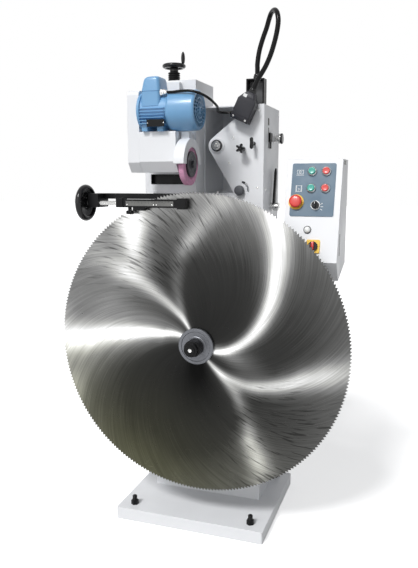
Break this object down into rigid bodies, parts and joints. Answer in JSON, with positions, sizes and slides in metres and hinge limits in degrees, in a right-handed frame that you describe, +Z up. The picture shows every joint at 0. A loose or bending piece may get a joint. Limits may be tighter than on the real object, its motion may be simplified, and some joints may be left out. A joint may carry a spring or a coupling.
{
  "type": "saw blade sharpener",
  "caption": "Pedestal wet grinding sharpener holding a large toothed circular saw blade upright, with a belt-driven grinding head above the rim, a rail fork and a side control box.",
  "frame": {"origin": "on the floor, straight below the centre of the mounted saw blade, in the middle plane of the blade", "axes": "+Z up, +Y from the blade to the column behind it, +X to the right of someone who faces the blade"},
  "size_m": [1, 0.518, 1.725],
  "materials": {
    "enamel_white": "smooth semi-gloss enamel",
    "motor_blue": "semi-gloss enamel on ribbed aluminium",
    "machine_black": "black oxide and satin paint",
    "black_plastic": "glossy moulded plastic",
    "bright_steel": "ground and polished",
    "blade_steel": "circular ground with radial glints",
    "dark_steel": "turned and blackened",
    "pink_abrasive": "bonded abrasive grain",
    "black_rubber": "matt cable sheath and belt",
    "panel_slate": "matt printed foil",
    "start_green": "moulded plastic",
    "stop_red": "moulded plastic",
    "bezel_chrome": "plated rings",
    "duct_grey": "moulded grey-black plastic"
  },
  "bodies": {
    "machine": {"base_plate": "enamel_white", "levelling_screws": "machine_black", "column": "enamel_white", "rear_cover": "enamel_white", "upper_housing": "enamel_white", "front_cover_plate": "enamel_white", "boss_bearing": "bright_steel", "head_column": "enamel_white", "arm_bracket": "machine_black", "rail_fork": "machine_black", "cable_duct": "duct_grey", "connector_hood": "duct_grey", "cable_glands": "duct_grey", "loop_cable": "black_rubber", "control_arm": "enamel_white", "control_box": "enamel_white", "control_panel": "panel_slate", "panel_bezels": "bezel_chrome", "screw_collar": "machine_black"},
    "arbor_carriage": {"arbor_slide": "enamel_white", "arbor_bearings": "bright_steel"},
    "elevator": {"elevating_screw": "bright_steel"},
    "blade": {"arbor_shaft": "bright_steel", "rear_flange": "dark_steel", "saw_blade": "blade_steel", "front_flange": "dark_steel", "clamp_nut": "machine_black"},
    "grinding_head": {"head_housing": "enamel_white", "belt_cover": "enamel_white", "drive_belt": "black_rubber", "motor_body": "motor_blue", "fan_cowl": "motor_blue", "terminal_box": "motor_blue", "motor_gland": "bezel_chrome", "wheel_guard": "enamel_white", "spindle_bearings": "bright_steel", "motor_cable": "black_rubber"},
    "wheel_spindle": {"spindle": "dark_steel", "spindle_pulley": "dark_steel", "grinding_wheel": "pink_abrasive"},
    "rotor": {"motor_rotor": "bright_steel"},
    "height_adjuster": {"height_screw": "bright_steel", "top_handwheel": "black_plastic"},
    "crank": {"crank_grip": "black_plastic"},
    "feed_rail": {"front_rail": "machine_black"},
    "feed_adjuster": {"feed_screw": "bright_steel", "arm_handwheel": "black_plastic"},
    "rail_clamp": {"clamp_knob": "black_plastic"},
    "star": {"star_knob": "black_plastic"},
    "wing": {"wing_knob": "machine_black"},
    "slot_pointer": {"slot_knob": "dark_steel"},
    "clamp_lever": {"side_lever": "machine_black"},
    "latch_knob": {"side_knob": "black_plastic"},
    "start_upper": {"start_button_upper": "start_green"},
    "start_lower": {"start_button_lower": "start_green"},
    "stop_upper": {"stop_button_upper": "stop_red"},
    "stop_lower": {"stop_button_lower": "stop_red"},
    "e_stop": {"emergency_stop": "stop_red"},
    "selector": {"selector_knob": "black_plastic"},
    "main_switch": {"main_switch_knob": "stop_red"}
  },
  "joints": [
    {"name": "arbor_elevation", "type": "slide", "parent": "machine", "child": "arbor_carriage", "axis": [0, 0, 1], "range_m": [-0.06, 0]},
    {"name": "elevating_screw_turn", "type": "hinge", "parent": "machine", "child": "elevator", "pos_m": [0, 0.216, 0.6], "axis": [0, 0, 1], "range_deg": [-5, 4325]},
    {"name": "blade_spin", "type": "hinge", "parent": "arbor_carriage", "child": "blade", "pos_m": [0, 0, 0.647], "axis": [0, 1, 0], "continuous": true},
    {"name": "head_height", "type": "slide", "parent": "machine", "child": "grinding_head", "axis": [0, 0, 1], "range_m": [-0.015, 0.03]},
    {"name": "height_screw_turn", "type": "hinge", "parent": "machine", "child": "height_adjuster", "pos_m": [-0.128, 0.138, 1.5], "axis": [0, 0, 1], "range_deg": [-2705, 1355]},
    {"name": "crank_grip_spin", "type": "hinge", "parent": "height_adjuster", "child": "crank", "pos_m": [-0.096, 0.138, 1.58], "axis": [0, 0, 1], "continuous": true},
    {"name": "rotor_spin", "type": "hinge", "parent": "grinding_head", "child": "rotor", "pos_m": [-0.1, -0.01, 1.395], "axis": [1, 0, 0], "continuous": true},
    {"name": "wheel_spin", "type": "hinge", "parent": "grinding_head", "child": "wheel_spindle", "pos_m": [-0.1, 0, 1.232], "axis": [1, 0, 0], "continuous": true},
    {"name": "feed_travel", "type": "slide", "parent": "machine", "child": "feed_rail", "axis": [1, 0, 0], "range_m": [-0.03, 0.02]},
    {"name": "feed_screw_turn", "type": "hinge", "parent": "machine", "child": "feed_adjuster", "pos_m": [-0.38, -0.024, 1.109], "axis": [1, 0, 0], "range_deg": [-1805, 2705]},
    {"name": "rail_clamp_turn", "type": "hinge", "parent": "feed_rail", "child": "rail_clamp", "pos_m": [-0.221, -0.024, 1.08], "axis": [0, 0, 1], "range_deg": [0, 270]},
    {"name": "star_knob_turn", "type": "hinge", "parent": "machine", "child": "star", "pos_m": [0.1, 0.15, 1.286], "axis": [0, 1, 0], "range_deg": [-180, 180]},
    {"name": "wing_knob_turn", "type": "hinge", "parent": "machine", "child": "wing", "pos_m": [0.136, 0.15, 1.303], "axis": [0, 1, 0], "range_deg": [-90, 90]},
    {"name": "slot_knob_turn", "type": "hinge", "parent": "machine", "child": "slot_pointer", "pos_m": [0.089, 0.17, 1.149], "axis": [0, 1, 0], "range_deg": [0, 76]},
    {"name": "clamp_lever_swing", "type": "hinge", "parent": "machine", "child": "clamp_lever", "pos_m": [0.18, 0.29, 1.092], "axis": [1, 0, 0], "range_deg": [0, 60]},
    {"name": "latch_knob_turn", "type": "hinge", "parent": "machine", "child": "latch_knob", "pos_m": [0.19, 0.335, 1.327], "axis": [1, 0, 0], "range_deg": [-90, 90]},
    {"name": "start_upper_press", "type": "slide", "parent": "machine", "child": "start_upper", "axis": [0, -0.9662, 0.2577], "range_m": [-0.004, 0], "stiffness_N_per_m": 800, "springref_m": 0.002},
    {"name": "start_lower_press", "type": "slide", "parent": "machine", "child": "start_lower", "axis": [0, -0.9662, 0.2577], "range_m": [-0.004, 0], "stiffness_N_per_m": 800, "springref_m": 0.002},
    {"name": "stop_upper_press", "type": "slide", "parent": "machine", "child": "stop_upper", "axis": [0, -0.9662, 0.2577], "range_m": [-0.004, 0], "stiffness_N_per_m": 800, "springref_m": 0.002},
    {"name": "stop_lower_press", "type": "slide", "parent": "machine", "child": "stop_lower", "axis": [0, -0.9662, 0.2577], "range_m": [-0.004, 0], "stiffness_N_per_m": 800, "springref_m": 0.002},
    {"name": "e_stop_press", "type": "slide", "parent": "machine", "child": "e_stop", "axis": [0, -0.9662, 0.2577], "range_m": [-0.005, 0], "stiffness_N_per_m": 1500, "springref_m": 0.002},
    {"name": "selector_turn", "type": "hinge", "parent": "machine", "child": "selector", "pos_m": [0.363, 0.08187, 1.105], "axis": [0, -0.9662, 0.2577], "range_deg": [-45, 45]},
    {"name": "main_switch_turn", "type": "hinge", "parent": "machine", "child": "main_switch", "pos_m": [0.364, 0.04863, 0.98035], "axis": [0, -0.9662, 0.2577], "range_deg": [0, 90]}
  ],
  "couplings": [
    {"joint": "elevating_screw_turn", "follows": "arbor_elevation", "rad_per_m": -1256.6},
    {"joint": "height_screw_turn", "follows": "head_height", "rad_per_m": -1570.8},
    {"joint": "feed_screw_turn", "follows": "feed_travel", "rad_per_m": -1570.8},
    {"joint": "wheel_spin", "follows": "rotor_spin", "ratio": 1.5}
  ]
}
